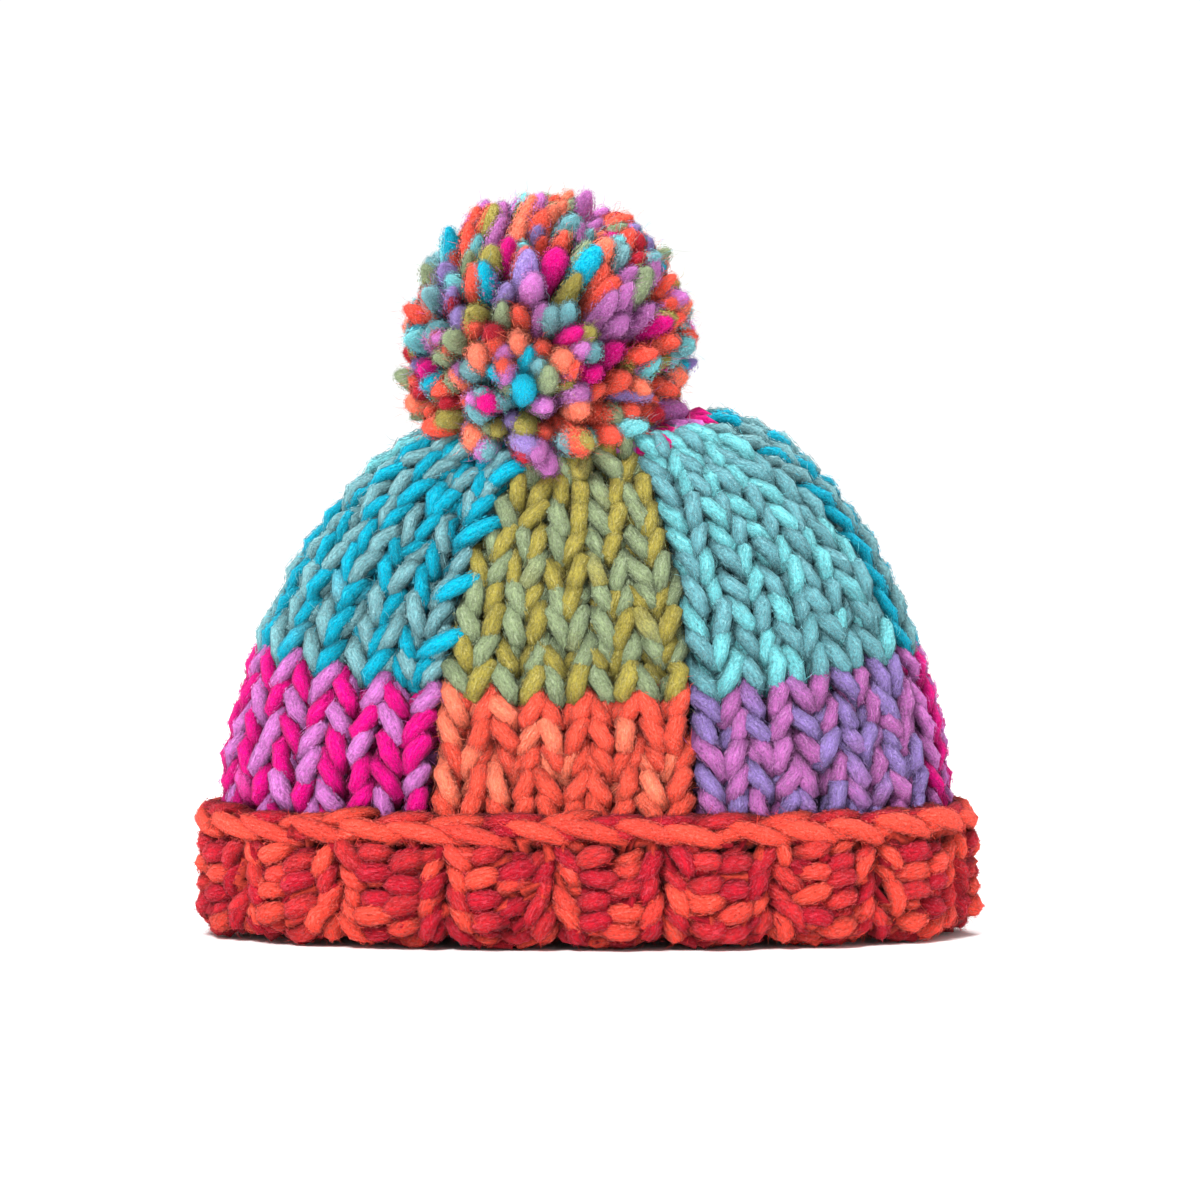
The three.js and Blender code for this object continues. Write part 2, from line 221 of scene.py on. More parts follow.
def wool(name, first, second, cover=0):
    """Soft marled wool of two dyes, or the paler nap over it, which covers only a share of the strand."""
    made = bpy.data.materials.new(name)
    made.use_nodes = True
    nodes, links = made.node_tree.nodes, made.node_tree.links
    shader = nodes["Principled BSDF"]
    shader.inputs["Roughness"].default_value = 0.9
    shader.inputs["Specular IOR Level"].default_value = 0.1
    shader.inputs["Sheen Weight"].default_value = 0.05
    shader.inputs["Sheen Roughness"].default_value = 0.5
    fibres = nodes.new("ShaderNodeGroup")
    fibres.node_tree = WOOL_FIBRE
    fibres.inputs["Cover"].default_value = cover
    for socket, dye in (("First Dye", first), ("Second Dye", second)):
        if cover:
            dye = [value + (NAP_PALE["towards"] - value) * NAP_PALE["share"] for value in dye]
        fibres.inputs[socket].default_value = linear(*dye)
    # The strands carry their fibre coordinates, a random tone, their share of second dye and their painted
    # shade.
    for attribute, output in (("fibre", "Vector"), ("tone", "Fac"), ("marl", "Fac"), ("open", "Fac")):
        reader = nodes.new("ShaderNodeAttribute")
        reader.attribute_name = attribute
        links.new(reader.outputs[output], fibres.inputs[attribute.capitalize()])
    bump = nodes.new("ShaderNodeBump")
    bump.inputs["Distance"].default_value = 0.8 * MM
    bump.inputs["Strength"].default_value = 0.9
    links.new(fibres.outputs["Height"], bump.inputs["Height"])
    links.new(bump.outputs["Normal"], shader.inputs["Normal"])
    links.new(fibres.outputs["Color"], shader.inputs["Base Color"])
    if cover:
        links.new(fibres.outputs["Loose"], shader.inputs["Alpha"])
    return made


# The dyes as they look in the light, the first and the second of each marled yarn.
YARNS = {
    "red": ((205, 65, 50), (158, 20, 36)),
    "orange": ((202, 69, 52), (216, 104, 78)),
    "magenta": ((190, 0, 107), (172, 96, 164)),
    "lavender": ((154, 86, 146), (124, 102, 160)),
    "turquoise": ((0, 144, 170), (100, 146, 152)),
    "aqua": ((98, 174, 180), (90, 144, 152)),
    "green": ((136, 125, 56), (120, 134, 100)),
}
WOOLS = {}
for yarn, dyes in YARNS.items():
    WOOLS[yarn] = wool(f"{yarn} marled wool", *dyes)
    WOOLS[f"{yarn} nap"] = wool(f"{yarn} wool nap", *dyes, cover=0.5)
    WOOLS[f"{yarn} haze"] = wool(f"{yarn} wool haze", *dyes, cover=0.47)


SHADE_DEPTH = 7 * MM  # how far in from the fabric's face the painted shade is darkest
INSIDE_FACE = {"from": 9 * MM, "over": 3 * MM, "open": 0.75}  # where the painted shade lifts again on the fabric's inside, and how light it gets there
CLEAR_OF_FLOOR = 0.2 * MM


class Strands:
    """Gathers tubes of wool, each through a line of points, and makes them into one piece."""

    def __init__(self, seed, two_faced=False):
        self.random = np.random.default_rng(seed)
        self.two_faced = two_faced  # whether the fabric's inside shows as well
        names = ("place", "fibre", "tone", "marl", "open", "corner", "size", "dye")
        self.parts = {name: [] for name in names}
        self.count = 0
        self.palette = []

    def add(self, lines, radii, facing, dye, sides=8, tone=0.0, marl=0.0, level=0.0, tips=None,
            rough=0.03, felted=1.0, painted_side_shade=0.88):
        """Lines have the shape (strands, points, 3). Facing is the way out of the fabric, and level
        how far out a strand's middle lies for its painted shade, 0 at the fabric's outer face: the deeper,
        the darker it is painted. Tips are the strands' two ends, and rough is how uneven their skin is.
        Felted above 1 shortens the streaks, and the side shade says how much painted shade darkens a
        strand down its sides."""
        lines = np.asarray(lines, float)
        many, points = lines.shape[:2]
        radii = np.broadcast_to(radii, (many, points))
        tangent = unit(np.gradient(lines, axis=1)) if points > 1 else unit(tips[1] - tips[0])
        facing = unit(np.broadcast_to(facing, lines.shape))
        normal = unit(facing - (facing * tangent).sum(-1, keepdims=True) * tangent)
        side = np.cross(tangent, normal)
        angle = np.arange(sides) * 2 * math.pi / sides
        ring = normal[:, :, None] * np.cos(angle)[:, None] + side[:, :, None] * np.sin(angle)[:, None]
        uneven = 1 + self.random.normal(0, rough, (many, points, sides, 1))
        body = lines[:, :, None] + radii[:, :, None, None] * ring * uneven
        if tips is None:
            tips = (lines[:, :1] - tangent[:, :1] * radii[:, :1, None] * 0.5,
                    lines[:, -1:] + tangent[:, -1:] * radii[:, -1:, None] * 0.5)
        places = np.concatenate([tips[0], body.reshape(many, -1, 3), tips[1]], 1)
        steps = np.linalg.norm(np.diff(lines, axis=1), axis=-1)
        along = np.concatenate([np.zeros((many, 1)), np.cumsum(steps, 1)], 1)
        start = self.random.uniform(0, 5, (many, 1, 1, 3))
        mean_radius = radii.mean(1)[:, None, None]
        grain = np.stack(np.broadcast_arrays(mean_radius * np.cos(angle), mean_radius * np.sin(angle),
                                             along[:, :, None] * felted), -1) + start
        # Painted shade: the wool is painted darker the deeper it lies below the fabric's face and down its
        # sides, and lighter again on the fabric's inside.
        upward = (ring * facing[:, :, None]).sum(-1)
        height = np.broadcast_to(level, (many, points))[:, :, None] + radii[:, :, None] * upward
        openness = np.clip(1 + height / SHADE_DEPTH, 0, 1) ** 1.2
        openness = openness * (1 - painted_side_shade + painted_side_shade * np.clip(0.5 + 0.5 * upward, 0, 1) ** 1.8)
        if self.two_faced:
            inside = np.clip((-height - INSIDE_FACE["from"]) / INSIDE_FACE["over"], 0, 1)
            inside = inside * np.clip(-upward, 0, 1) * INSIDE_FACE["open"]
            openness = np.maximum(openness, inside)

        def on_corners(values):
            """Spreads values given for each point or side over the tips and the rings."""
            values = np.broadcast_to(values, (many, points, sides) + values.shape[3:])
            flat = values.reshape((many, -1) + values.shape[3:])
            return np.concatenate([values[:, 0, :1], flat, values[:, -1, :1]], 1)

        each = {"place": places, "fibre": on_corners(grain), "open": on_corners(openness),
                "tone": on_corners(np.reshape(np.broadcast_to(tone, many), (-1, 1, 1))),
                "marl": on_corners(np.broadcast_to(marl, (many, points))[:, :, None])}
        for name, values in each.items():
            self.parts[name].append(values.reshape((-1,) + values.shape[2:]))
        i = np.arange(points - 1)[:, None] * sides + 1
        j = np.arange(sides)[None]
        here, there = i + j, i + (j + 1) % sides
        quads = np.stack([here, here + sides, there + sides, there], -1).reshape(-1)
        loop = np.arange(sides)
        head = np.stack([np.zeros(sides, int), 1 + loop, 1 + (loop + 1) % sides], -1)
        end = 1 + (points - 1) * sides
        tail = np.stack([np.full(sides, end + sides), end + (loop + 1) % sides, end + loop], -1)
        corners = np.concatenate([quads, head.ravel(), tail.ravel()])
        sizes = np.concatenate([np.full((points - 1) * sides, 4), np.full(2 * sides, 3)])
        shift = self.count + np.arange(many)[:, None] * places.shape[1]
        self.parts["corner"].append((corners[None] + shift).ravel())
        self.parts["size"].append(np.tile(sizes, many))
        names = [dye] * many if isinstance(dye, str) else list(dye)
        for name in names:
            if name not in self.palette:
                self.palette.append(name)
        numbers = np.array([self.palette.index(name) for name in names])
        self.parts["dye"].append(np.repeat(numbers, len(sizes)))
        self.count += many * places.shape[1]

    def nap(self, lines, radii, facing, dye, stand, sides=5, kind="nap", **looks):
        """A sleeve of loose fibres, a distance proud of each strand."""
        names = f"{dye} {kind}" if isinstance(dye, str) else [f"{name} {kind}" for name in dye]
        looks["tone"] = looks["tone"] + 1.5
        self.add(lines, np.asarray(radii) + stand, facing, names, sides, **looks)

    def fluff(self, lines, thick, outward, dye, marl, number, length, facing=0.15, radius=0.055 * MM):
        """Loose fibres on strands, number of them on each: thin bent threads that run out to nothing.
        They grow where the strand faces outward, both ways along it."""
        draw = self.random
        many, points = lines.shape[:2]
        which = np.repeat(np.arange(many), number)
        place = draw.integers(1, points - 1, len(which))
        along = unit(np.gradient(lines, axis=1))[which, place]
        look = np.broadcast_to(outward, lines.shape)[which, place]
        spread = unit(look + draw.normal(0, 0.8, look.shape))
        spread = unit(spread - (spread * along).sum(-1, keepdims=True) * along)
        keep = (spread * look).sum(-1) > facing
        which, place, along, spread = which[keep], place[keep], along[keep], spread[keep]
        skin = np.broadcast_to(thick, (many, points))[which, place, None] * 0.95
        roots = lines[which, place] + spread * skin
        roots = roots + along * draw.uniform(-0.5, 0.5, (len(which), 1)) * 1.5 * MM
        reach = length * draw.uniform(0.4, 1.5, (len(which), 1))
        sense = draw.choice([-1, 1], (len(which), 1))
        sideways = np.cross(along, spread) * draw.normal(0, 0.7, (len(which), 1))
        lean = unit(along * sense + sideways)
        lift = unit(spread + draw.normal(0, 0.3, spread.shape))
        middle = roots + reach * (0.45 * lean + 0.17 * lift)
        end = middle + reach * (0.4 * lean + 0.16 * lift * draw.uniform(-1, 1.6, (len(which), 1))
                                + draw.normal(0, 0.16, spread.shape))
        names = dye if isinstance(dye, str) else [dye[i] for i in which]
        self.add(middle[:, None], radius, np.cross(lean, lift)[:, None], names, 3,
                 draw.uniform(1, 7, len(which)), np.broadcast_to(marl, (many, points))[which, place, None],
                 tips=(roots[:, None], end[:, None]), rough=0, painted_side_shade=0)

    def piece(self, name, slot, *nodes):
        parts = {key: np.concatenate(values) for key, values in self.parts.items()}
        parts["place"][:, 2] = np.maximum(parts["place"][:, 2], CLEAR_OF_FLOOR)
        mesh = bpy.data.meshes.new(name)
        mesh.vertices.add(self.count)
        mesh.vertices.foreach_set("co", parts["place"].astype(np.float32).ravel())
        mesh.loops.add(len(parts["corner"]))
        mesh.loops.foreach_set("vertex_index", parts["corner"].astype(np.int32))
        mesh.polygons.add(len(parts["size"]))
        starts = np.concatenate([[0], np.cumsum(parts["size"])[:-1]])
        mesh.polygons.foreach_set("loop_start", starts.astype(np.int32))
        mesh.polygons.foreach_set("material_index", parts["dye"].astype(np.int32))
        mesh.update(calc_edges=True)
        mesh.shade_smooth()
        fibre = mesh.attributes.new("fibre", "FLOAT_VECTOR", "POINT")
        fibre.data.foreach_set("vector", parts["fibre"].astype(np.float32).ravel())
        for key in ("tone", "marl", "open"):
            values = mesh.attributes.new(key, "FLOAT", "POINT")
            values.data.foreach_set("value", parts[key].astype(np.float32))
        for dye in self.palette:
            mesh.materials.append(WOOLS[dye])
        made = bpy.data.objects.new(name, mesh)
        bpy.context.scene.collection.objects.link(made)
        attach(made, "root")
        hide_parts(*nodes)


def sway(draw, at, amount):
    """A slow wandering, different for each line, along the numbers at."""
    phases = draw.uniform(0, 2 * math.pi, 4)
    waves = sum(np.sin(at * pace + phase) for pace, phase in zip((0.9, 2.3, 3.7, 5.9), phases))
    return amount * waves / 2.2


ROW_OVERLAP = 0.06  # how far a row of stitches runs on past its ends
UNEVEN = {"lean": 0.14, "across": 0.8 * MM, "rows": 0.09, "out": 0.5 * MM}  # as it is knitted by hand


def stitch_line(draw, edges, row, kinds, height=0.91, lean=0.245, depth=3.3 * MM, steps=14, loose=1.0):
    """One row of stitches as a yarn line: ways across, rows up and depths from the fabric's middle,
    and the count of stitches so far.

    Edges are the columns' edges across the fabric. Kinds has a 1 for each knit column, whose two
    legs lie in front, and a -1 for each purl one, whose head and feet do. Loose is how much of the
    unevenness the row has.
    """
    columns = len(edges) - 1
    at = np.linspace(-ROW_OVERLAP, columns + ROW_OVERLAP, int(columns * steps))
    cell = np.clip(np.floor(at), 0, columns - 1).astype(int)
    turn = 2 * math.pi * (at - cell)
    width = np.diff(edges)[cell]
    leans = lean * (1 + draw.normal(0, UNEVEN["lean"] * loose, columns))[cell]
    across = edges[cell] + width * ((at - cell) + leans * np.sin(2 * turn))
    rows = row + 0.5 - height * np.cos(turn)
    kinds = np.asarray(kinds, float)
    nearest = np.clip(np.round(at).astype(int), 0, columns)
    before = kinds[np.clip(nearest - 1, 0, columns - 1)]
    after = kinds[np.clip(nearest, 0, columns - 1)]
    blend = np.clip((at - nearest) * 4 + 0.5, 0, 1)
    side = before + (after - before) * blend * blend * (3 - 2 * blend)
    out = -depth * np.cos(2 * turn) * side
    out = np.where(out < 0, out * 0.6, out)
    across = across + sway(draw, at * 2, UNEVEN["across"] * loose)
    rows = rows + sway(draw, at * 2, UNEVEN["rows"] * loose)
    out = out + sway(draw, at * 2, UNEVEN["out"] * loose)
    return across, rows, out, at


def dye_runs(draw, way, share, run):
    """How much of the second dye a ply has along its way: long runs of one, soft changes between."""
    changes = np.cumsum(draw.uniform(0.5, 1.5, int(way[-1] / run * 2) + 4)) * run
    values = (draw.uniform(0, 1, len(changes)) < share) * 1.0
    soft = np.tile([-0.35 * run, 0], len(changes))
    return np.interp(way, (np.repeat(changes, 2) + soft)[1:], np.repeat(values, 2)[:-1])


def wind_plies(strands, line, outward, level, dye, plies, turn, sides, swell=0.22, run=40 * MM, nap=0):
    """Winds two plies round a yarn's line by the turn at each point. Each ply has a radius, an offset
    and its share of second dye, and swells where it lies in front."""
    tangent = unit(np.gradient(line, axis=0))
    normal = unit(outward - (outward * tangent).sum(-1, keepdims=True) * tangent)
    side = np.cross(tangent, normal)
    way = np.concatenate([[0], np.cumsum(np.linalg.norm(np.diff(line, axis=0), axis=1))])
    draw = strands.random
    turn = turn + sway(draw, way / (18 * MM), 0.5)
    made = []
    for i, (radius, offset, share) in enumerate(plies):
        around = turn + math.pi * i
        shift = offset * (np.cos(around)[:, None] * normal + np.sin(around)[:, None] * side)
        centre = line + shift
        thick = radius * (1 + swell * np.cos(around) + sway(draw, way / (9 * MM), 0.07))
        thick[[0, -1]] *= 0.6
        marl = dye_runs(draw, way, share, run)
        looks = {"tone": draw.uniform(-1, 1), "marl": marl[None],
                 "level": (level + (shift * outward).sum(-1))[None]}
        strands.add(centre[None], thick[None], outward[None], dye, sides, **looks)
        if nap:
            strands.nap(centre[None], thick[None], outward[None], dye, nap, **looks)
        made.append((centre, thick, marl))
    return made


def fluff_plies(strands, plies, outward, dye, number, length):
    for centre, thick, marl in plies:
        strands.fluff(centre[None], thick[None], outward[None], dye, marl[None], number, length)


# The fabric's middle line in the cuff's section: down the flap, round the fold and up the band.
FLAP = {"out": 4.2 * MM, "band": -5.2 * MM, "top": 30 * MM, "fold": 9.2 * MM}
# A crease's depth, its width as a share of a rib, and how far it lifts the fold at the cuff's foot
CREASE = {"depth": 3.6 * MM, "width": 0.17, "lift": 3.2 * MM}
CUFF_ROW = 6.3 * MM
CUFF_COLUMNS = (("knit", 0.4), ("purl", 0.3), ("purl", 0.3))
# The radius of each ply, how far it lies from the yarn's middle, and its share of crimson
CUFF_PLIES = ((2.05 * MM, 1.4 * MM, 0.1), (2.05 * MM, 1.4 * MM, 0.88))


def cuff_line(way):
    """Out from the crown's foot, height, and the way that the fabric looks, for a way down the flap."""
    radius = (FLAP["out"] - FLAP["band"]) / 2
    straight = FLAP["top"] - FLAP["fold"]
    bend = np.clip((way - straight) / radius, 0, math.pi)
    rest = np.maximum(0, way - straight - math.pi * radius)
    out = FLAP["band"] + radius + radius * np.cos(bend)
    height = FLAP["fold"] - radius * np.sin(bend) + np.where(bend <= 0, straight - way, rest)
    return out, height, np.cos(bend), -np.sin(bend)


def cuff_point(arc, way, depth):
    """A point of the cuff's fabric and the way out of it there."""
    turn = turn_at(arc)
    share = np.mod((arc - FIRST_CREASE) / CUFF_PITCH + 0.5, 1) - 0.5
    fold = np.exp(-((share / CREASE["width"]) ** 2)) * np.clip(way / (6 * MM), 0.25, 1)
    out, height, look_out, look_up = cuff_line(way)
    crease = CREASE["depth"] * fold * np.clip((height - 1 * MM) / (8 * MM), 0.35, 1)
    crease = crease * np.clip(look_out, 0, 1)
    out = out + (depth - crease) * look_out
    lift = CREASE["lift"] * fold * np.clip(1 - height / (12 * MM), 0, 1)
    height = height + (depth - crease * 0.3) * look_up + lift
    x, y = foot_point(turn, out)
    step = 0.01
    x0, y0 = foot_point(turn - step)
    x1, y1 = foot_point(turn + step)
    aside = unit(np.stack([y1 - y0, x0 - x1, 0 * x], -1))
    place = np.stack([x, y, height], -1)
    return place, unit(aside * look_out[..., None] + np.array([0, 0, 1.0]) * look_up[..., None])


def cuff_edges():
    """The edges of the cuff's columns of stitches, all the way round."""
    shares = np.concatenate([[0], np.cumsum([share for _, share in CUFF_COLUMNS])])[:-1]
    first = FIRST_CREASE - CUFF_COLUMNS[0][1] * CUFF_PITCH / 2
    starts = (first + CUFF_PITCH * (np.arange(CUFF_REPEATS)[:, None] + shares)).ravel()
    return np.append(starts, starts[0] + GIRTH)


def make_cuff_rows(name, rows, steps, sides, inset, seed):
    """The stitches themselves, which show inside the cuff and are the ground between the lobes."""
    strands = Strands(seed)
    edges = cuff_edges()
    kinds = [1 if kind == "knit" else -1 for kind, _ in CUFF_COLUMNS] * CUFF_REPEATS
    for row in rows:
        across, climb, depth, at = stitch_line(strands.random, edges, row, kinds, height=1.0, lean=0.25,
                                               depth=2.2 * MM, steps=steps)
        line, outward = cuff_point(across, climb * CUFF_ROW, depth - inset)
        turn = -2.6 * math.pi * at + strands.random.uniform(0, 2 * math.pi)
        # Painted shade: the ground rows are painted darker than their depth alone gives, the more so where
        # they lie inset.
        level = depth - inset * 1.6 - 3 * MM
        wind_plies(strands, line, outward, level, "red", CUFF_PLIES, turn, sides, swell=0.3, run=60 * MM)
    strands.piece(name, "red_yarn", "cuff")


make_cuff_rows("cuff_ground", range(0, 5), steps=7, sides=4, inset=2.6 * MM, seed=11)
make_cuff_rows("cuff_band", range(5, 8), steps=9, sides=5, inset=0, seed=12)

# What shows of a ply between two crossings is a lobe. They stand in two chains that lean away from
# each crease, and in two staggered columns on the pillow between creases, with small ones behind.
# The sizes are in millimetres, with the way across from the crease, and the leans in degrees.
LOBE = {"points": 7, "dip": 3.4 * MM, "crimson": 0.6, "nap": 0.55 * MM, "hairs": 12, "hair": 4 * MM}
CHAIN_END = 34
CHAINS = (
    {"across": 3.9, "start": 3.0, "pitch": 5.8, "length": 12.5, "lean": 57, "radius": 2.5, "out": 1.2},
    {"across": -3.9, "start": 5.6, "pitch": 5.8, "length": 12.5, "lean": 119, "radius": 2.5, "out": 1.2},
    {"across": 11.6, "start": 2.6, "pitch": 6.2, "length": 11.5, "lean": -9, "radius": 2.75, "out": 0.9},
    {"across": 19.6, "start": 5.6, "pitch": 6.2, "length": 12, "lean": -11, "radius": 2.8, "out": 0.9},
    {"across": 11.2, "start": 5.6, "pitch": 6.2, "length": 10, "lean": 4, "radius": 2.0, "out": -0.4},
    {"across": 20.2, "start": 2.4, "pitch": 6.2, "length": 10, "lean": -20, "radius": 2.0, "out": -0.4},
    {"across": 26.0, "start": 3.2, "pitch": 6.0, "length": 9, "lean": -40, "radius": 2.0, "out": -0.2},
    {"across": 6.6, "start": 0.8, "pitch": 6.0, "length": 9, "lean": 30, "radius": 2.0, "out": -0.6},
)


def add_lobes(strands, arc, way, out, length, lean, radius):
    """Lobes that lie on the cuff, each with its middle, its lean in radians and its sizes."""
    many = len(arc)
    draw = strands.random
    share = np.linspace(-0.5, 0.5, LOBE["points"])
    bend = draw.normal(0, 0.08, (many, 1)) * (0.25 - share**2) * 4
    arcs = arc[:, None] + length[:, None] * (share * np.cos(lean)[:, None] - bend * np.sin(lean)[:, None])
    ways = way[:, None] + length[:, None] * (share * np.sin(lean)[:, None] + bend * np.cos(lean)[:, None])
    depth = out[:, None] - LOBE["dip"] * (2 * share) ** 2
    lines, outward = cuff_point(arcs, ways, depth)
    thick = radius[:, None] * (0.4 + 0.6 * np.cos(math.pi * share).clip(0, 1) ** 0.6)
    crimson = draw.uniform(0, 1, (many, 1)) < LOBE["crimson"]
    fade = 0.25 * draw.choice([-1, 1], (many, 1)) * share
    marl = np.clip(0.08 + 0.84 * crimson + fade + draw.normal(0, 0.18, (many, 1)), 0, 1)
    # Painted shade: a lobe is painted darker towards its ends where it dips in, and the small ones behind
    # darker still.
    looks = {"tone": draw.uniform(-1, 1, many), "marl": marl, "level": 2 * depth - LOBE["dip"]}
    strands.add(lines, thick, outward, "red", 7, **looks)
    strands.nap(lines, thick, outward, "red", LOBE["nap"], 6, **looks)
    strands.fluff(lines, thick, outward, "red", marl, LOBE["hairs"], LOBE["hair"])


lobes = Strands(13)
draw = lobes.random
for chain in CHAINS:
    levels = np.arange(chain["start"], CHAIN_END, chain["pitch"])
    repeat, level = np.meshgrid(np.arange(CUFF_REPEATS), levels, indexing="ij")
    repeat, level = repeat.ravel(), level.ravel()
    many = len(level)
    across = FIRST_CREASE + repeat * CUFF_PITCH + chain["across"] * MM
    level = level + draw.normal(0, 0.5, many) + 0.9 * np.sin(repeat * 2.4)
    lean = np.radians(chain["lean"] + draw.normal(0, 9, many))
    add_lobes(lobes, across + draw.normal(0, 0.6 * MM, many), level * MM,
              chain["out"] * MM + draw.normal(0, 0.4 * MM, many),
              chain["length"] * MM * draw.uniform(0.85, 1.15, many), lean,
              chain["radius"] * MM * draw.uniform(0.98, 1.26, many))
lobes.piece("cuff_lobes", "red_yarn", "cuff")

# Cast-on edge
# The first loops of the cuff, drawn long and slanting, which lie along its top like a cord. Its front
# strands are orange, and most of those behind them are crimson. The sizes are in millimetres.
EDGE_COUNT = 34
# Sunk is how far in the cord's painted shade is set.
EDGE = {"points": 12, "dip": 2.8 * MM, "sunk": 7.5 * MM, "nap": 0.6 * MM, "hairs": 24, "hair": 4 * MM}
EDGE_STRANDS = (
    {"crimson": 0.06, "shift": 0, "out": 4.8, "height": 33.8, "length": 22, "lean": -15, "radius": 2.95},
    {"crimson": 0.7, "shift": 0.55, "out": 3.0, "height": 36.2, "length": 21, "lean": 9, "radius": 2.4},
    {"crimson": 0.35, "shift": 0.62, "out": 3.2, "height": 32.6, "length": 19, "lean": 8, "radius": 2.4},
    {"crimson": 0.6, "shift": 0.2, "out": 0.2, "height": 34.6, "length": 21, "lean": -10, "radius": 3.2},
)
edge = Strands(21)
draw = edge.random
for kind in EDGE_STRANDS:
    share = np.linspace(-0.5, 0.5, EDGE["points"])
    place = (np.arange(EDGE_COUNT) + kind["shift"] + draw.normal(0, 0.07, EDGE_COUNT))[:, None]
    tilt = np.radians(kind["lean"] + draw.normal(0, 4, EDGE_COUNT))[:, None]
    reach = kind["length"] * MM * draw.uniform(0.93, 1.12, (EDGE_COUNT, 1))
    arcs = place * GIRTH / EDGE_COUNT + reach * share * np.cos(tilt)
    outs = kind["out"] * MM - EDGE["dip"] * (2 * share) ** 2
    x, y = foot_point(turn_at(arcs), outs)
    arch = draw.normal(1.0, 0.5, (EDGE_COUNT, 1)) * MM * (1 - (2 * share) ** 2)
    rises = kind["height"] * MM + reach * share * np.sin(tilt) + arch + 0.5 * MM * np.cos(place * 1.9)
    lines = np.stack([x, y, rises], -1)
    aside = np.cross(unit(np.gradient(lines, axis=1)), np.array([0, 0, 1.0]))
    thick = kind["radius"] * MM * draw.uniform(0.92, 1.08, (EDGE_COUNT, 1))
    thick = thick * (0.25 + 0.75 * np.cos(math.pi * (share - 0.04)).clip(0, 1) ** 0.5)
    crimson = draw.uniform(0, 1, (EDGE_COUNT, 1)) < kind["crimson"]
    marl = np.clip(crimson + draw.normal(0, 0.12, (EDGE_COUNT, 1)), 0, 1)
    # Painted shade: the cord is painted darker as if it lay a further sunk depth in, and darker still
    # where its strands dip.
    looks = {"tone": draw.uniform(-1, 1, EDGE_COUNT), "marl": marl, "level": 1.5 * outs - EDGE["sunk"]}
    edge.add(lines, thick, aside, "red", **looks)
    edge.nap(lines, thick, aside, "red", EDGE["nap"], **looks)
    edge.fluff(lines, thick, aside, "red", marl, EDGE["hairs"], EDGE["hair"])
edge.piece("cast_on_cord", "red_yarn", "cast_on_edge")

# Colour blocks of the crown
# Stocking stitch in thick two-ply wool, one bright ply and one greyer, in six gores that change
# colour half way up. Each stitch's two legs show as a V, and columns are knitted together on the way up.
GORE_FEET = np.array([-45.7, 31.6, 108.9, 202.6, 296.3, 390.0]) * MM  # the seams' ways round the foot
DOME = {"width_rise": 1.4, "width_round": 2.9, "depth_rise": 1.6, "depth_round": 3.2}
LOWER_ROWS, UPPER_ROWS = 6, 10
BLOCK_START = {"front": 28 * MM, "side": 34 * MM}
COLOUR_LINE = {"front": 73.5 * MM, "side": 86 * MM}
RIM = {"front": 155.5 * MM, "side": 158.9 * MM}  # where one more row would end
LEAN = 3 * MM  # how far the top stands to the right
RIM_TURNS = np.radians([-16, 10, 39, 141, 219, 314])  # where the seams end
CONVERGE = 2.5  # how late they turn there
WALL_MIDDLE = -6.9 * MM
JUNCTION_SHADE = 2.6 * MM  # how much deeper the painted shade lies where two legs meet
SEAM = 1.3 * MM
# The column that the yarn's full size fits, how far each ply lies from its middle, the length of a run
# of one dye, and the fuzz: a sleeve, and hairs on each stitch.
YARN = {"column": 14.6 * MM, "offset": 1.65 * MM, "run": 45 * MM, "nap": 0.6 * MM, "hairs": 14,
        "hair": 4.5 * MM}
# Two columns narrow in the rows before they are knitted together. The one left starts at a share of
# their width and comes to a full column in the rows after.
DECREASE = {"before": 4, "narrowed": 0.3, "left": 0.72, "after": 3}

# Each gore's columns of stitches, its lower and upper wools, and where two columns are knitted
# together in its upper block, as a row and the place of the left one of the two.
GORES = (
    {"name": "front", "columns": 5, "lower": "orange", "upper": "green", "together": ((6, 0), (8, 2))},
    {"name": "right", "columns": 5, "lower": "lavender", "upper": "aqua", "together": ((6, 3), (8, 1))},
    {"name": "back_right", "columns": 6, "lower": "magenta", "upper": "turquoise",
     "together": ((5, 1), (7, 3))},
    {"name": "back", "columns": 6, "lower": "orange", "upper": "green",
     "together": ((5, 4), (7, 0), (9, 2))},
    {"name": "back_left", "columns": 6, "lower": "lavender", "upper": "aqua",
     "together": ((5, 2), (7, 0))},
    {"name": "left", "columns": 5, "lower": "magenta", "upper": "turquoise",
     "together": ((6, 1), (8, 2))},
)

# How much of the second dye each ply has, and the plies' radii in millimetres.
MARLING = {
    "orange": {"shares": (0.12, 0.4), "radii": (2.7, 2.7)},
    "magenta": {"shares": (0.02, 0.86), "radii": (2.7, 2.7)},
    "lavender": {"shares": (0.12, 0.72), "radii": (2.7, 2.7)},
    "turquoise": {"shares": (0.06, 0.97), "radii": (2.6, 2.8)},
    "aqua": {"shares": (0.3, 0.96), "radii": (2.7, 2.75)},
    "green": {"shares": (0.08, 0.9), "radii": (2.7, 2.7)},
}


def crown_section(height):
    rise = np.clip((height - CROWN["wall_top"]) / (CROWN["top"] - CROWN["wall_top"]), 0, 1)
    half_width = CROWN["half_width"] * (1 - rise ** DOME["width_rise"]) ** (1 / DOME["width_round"])
    half_depth = CROWN["half_depth"] * (1 - rise ** DOME["depth_rise"]) ** (1 / DOME["depth_round"])
    return half_width, half_depth


CLIMB_STEPS = 67


def even_heights(start, end, across):
    """Heights that lie evenly along the wall, seen from the front or from the side."""
    heights = np.linspace(start, end, 481)
    runs = np.diff(crown_section(heights)[across])
    lengths = np.concatenate([[0], np.cumsum(np.hypot(runs, np.diff(heights)))])
    return np.interp(np.linspace(0, lengths[-1], CLIMB_STEPS), lengths, heights)


